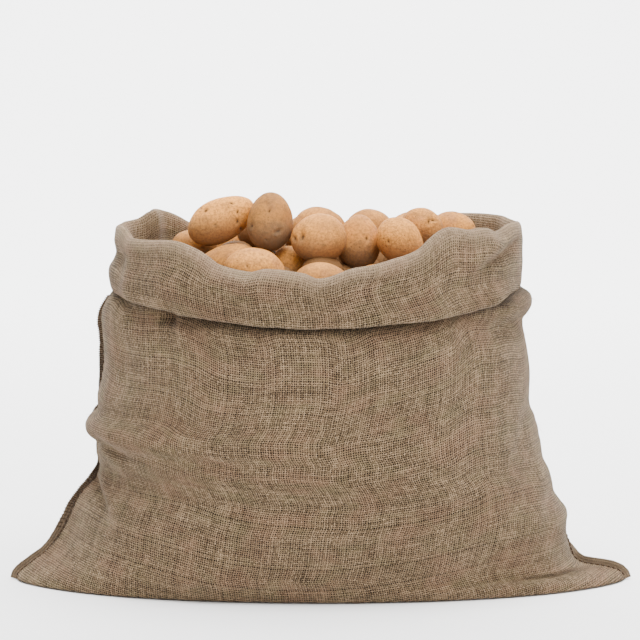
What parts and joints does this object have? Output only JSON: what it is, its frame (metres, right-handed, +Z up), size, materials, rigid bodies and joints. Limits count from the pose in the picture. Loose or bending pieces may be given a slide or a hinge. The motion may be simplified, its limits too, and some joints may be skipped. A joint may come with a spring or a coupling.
{
  "type": "hessian sack of potatoes",
  "caption": "Hessian sack standing open, its mouth rolled outward into a thick cuff round a heap of potatoes, with overlocked side seams running down to pointed bottom corners.",
  "frame": {"origin": "on the floor, under the middle of the sack's length and depth", "axes": "+Z up, -Y towards the sack's front panel, +X to the right as seen from the front"},
  "size_m": [0.5985, 0.314, 0.383],
  "materials": {
    "hessian": "coarse plain weave of natural jute",
    "seam_yarn": "dark brown jute yarn",
    "potato_skin": "smooth unwashed skin",
    "potato_heap": "shaded potato skin"
  },
  "bodies": {
    "root": {"front_panel": "hessian", "back_panel": "hessian", "side_seam_left": "seam_yarn", "side_seam_right": "seam_yarn", "potato_fill": "potato_heap", "potato_01": "potato_skin", "potato_02": "potato_skin", "potato_03": "potato_skin", "potato_04": "potato_skin", "potato_05": "potato_skin", "potato_06": "potato_skin", "potato_07": "potato_skin", "potato_08": "potato_skin", "potato_09": "potato_skin", "potato_10": "potato_skin", "potato_11": "potato_skin", "potato_12": "potato_skin", "potato_13": "potato_skin", "potato_14": "potato_skin", "potato_15": "potato_skin", "potato_16": "potato_skin", "potato_17": "potato_skin", "potato_18": "potato_skin", "potato_19": "potato_skin", "potato_20": "potato_skin", "potato_21": "potato_skin", "potato_22": "potato_skin", "potato_23": "potato_skin", "potato_24": "potato_skin", "potato_25": "potato_skin", "potato_26": "potato_skin"}
  },
  "joints": []
}
